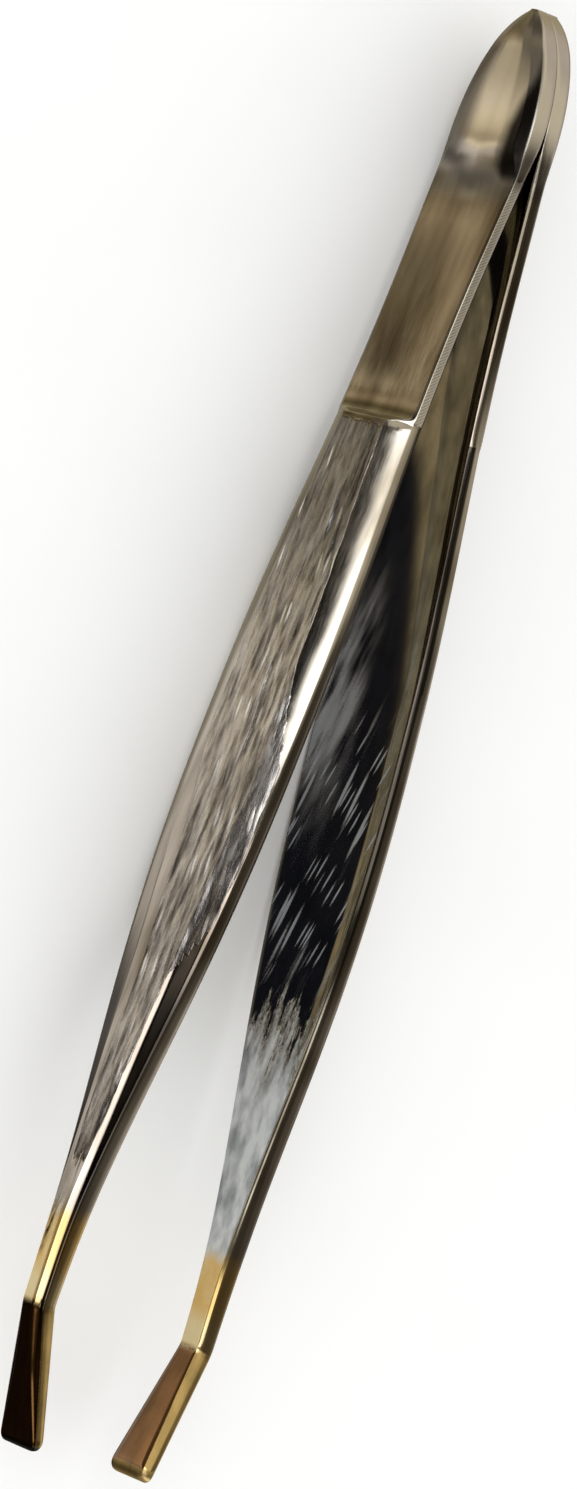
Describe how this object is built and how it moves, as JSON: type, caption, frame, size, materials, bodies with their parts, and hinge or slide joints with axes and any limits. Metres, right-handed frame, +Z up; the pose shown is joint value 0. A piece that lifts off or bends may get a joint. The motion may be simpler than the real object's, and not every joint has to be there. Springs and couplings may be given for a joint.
{
  "type": "tweezers",
  "caption": "Slim spring tweezers with welded pointed head, thin springs, broad bevelled grips, narrow necks and flared jaws bent inwards, gold plated at the jaws.",
  "frame": {"origin": "on the surface the tweezers lie on, below the middle of their box, lying on their side", "axes": "+X to the pointed head, +Y to the left arm, +Z up, across the width of the arms"},
  "size_m": [0.095, 0.0138, 0.0107],
  "materials": {
    "plated_steel": "polished nickel plate, scratch-ground on the grips, gold plate from the necks to the jaws"
  },
  "bodies": {
    "root": {"left_arm": "plated_steel", "right_arm": "plated_steel"}
  },
  "joints": []
}
